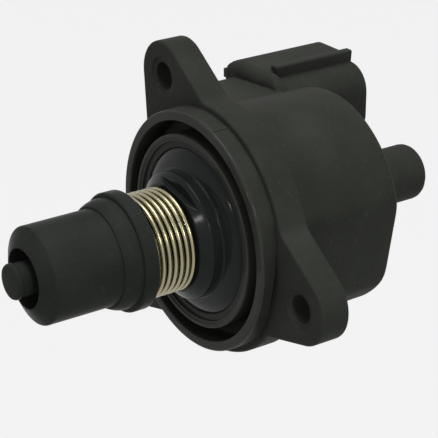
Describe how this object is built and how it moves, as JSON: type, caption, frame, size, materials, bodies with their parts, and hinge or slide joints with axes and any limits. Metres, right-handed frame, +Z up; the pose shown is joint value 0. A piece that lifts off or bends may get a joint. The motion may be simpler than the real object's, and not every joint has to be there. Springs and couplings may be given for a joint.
{
  "type": "idle air control valve",
  "caption": "Idle air control valve with a flanged moulded motor housing, a connector socket and a spring-loaded hollow pintle on a lead screw.",
  "frame": {"origin": "on the valve's axis, at the mounting face of the flange where the pilot starts", "axes": "+Y along the axis to the rear, away from the throttle body, so the pintle points along -Y; +X to the right as seen from the pintle's side; +Z up, on the side of the connector socket"},
  "size_m": [0.0549, 0.077, 0.0489],
  "materials": {
    "housing_plastic": "matt black glass-filled nylon with a fine moulded grain",
    "plate_plastic": "glossy black with a blue tint",
    "spring_steel": "bright spring wire with a warm tint",
    "pintle_plastic": "satin black heat-resistant plastic",
    "spindle_plastic": "satin black plastic",
    "magnet_ferrite": "sintered dark grey ferrite",
    "thread_brass": "machined",
    "bearing_steel": "ground",
    "ball_steel": "polished",
    "cage_brass": "pressed",
    "bush_brass": "sintered and oiled",
    "washer_steel": "blanked",
    "stator_steel": "zinc-plated sheet",
    "bobbin_plastic": "natural nylon",
    "copper_wire": "enamelled copper winding",
    "tinned_pin": "bright tin plate"
  },
  "bodies": {
    "valve_body": {"housing": "housing_plastic", "front_plate": "plate_plastic", "return_spring": "spring_steel", "bearing_outer_ring": "bearing_steel", "rear_bush": "bush_brass", "thrust_washer": "washer_steel", "wave_washer": "washer_steel", "front_cup": "stator_steel", "front_claw_plate": "stator_steel", "rear_claw_plate": "stator_steel", "rear_cup": "stator_steel", "front_bobbin": "bobbin_plastic", "rear_bobbin": "bobbin_plastic", "front_winding": "copper_wire", "rear_winding": "copper_wire", "terminal_1": "tinned_pin", "terminal_2": "tinned_pin", "terminal_3": "tinned_pin", "terminal_4": "tinned_pin", "terminal_5": "tinned_pin", "terminal_6": "tinned_pin"},
    "rotor": {"rotor_magnet": "magnet_ferrite", "rotor_nut": "thread_brass", "bearing_inner_ring": "bearing_steel"},
    "plunger": {"pintle": "pintle_plastic", "spindle": "spindle_plastic"},
    "ball_cage": {"bearing_cage": "cage_brass", "bearing_balls": "ball_steel"}
  },
  "joints": [
    {"name": "rotor_spin", "type": "hinge", "parent": "valve_body", "child": "rotor", "pos_m": [0, 0, 0], "axis": [0, -1, 0], "range_deg": [-180, 1260]},
    {"name": "pintle_slide", "type": "slide", "parent": "valve_body", "child": "plunger", "axis": [0, -1, 0], "range_m": [-0.001, 0.007], "deforming": ["return_spring"]},
    {"name": "cage_spin", "type": "hinge", "parent": "valve_body", "child": "ball_cage", "pos_m": [0, 0, 0], "axis": [0, -1, 0], "range_deg": [-76, 531]}
  ],
  "couplings": [
    {"joint": "pintle_slide", "follows": "rotor_spin", "m_per_rad": 0.0003183},
    {"joint": "cage_spin", "follows": "rotor_spin", "ratio": 0.42083}
  ]
}
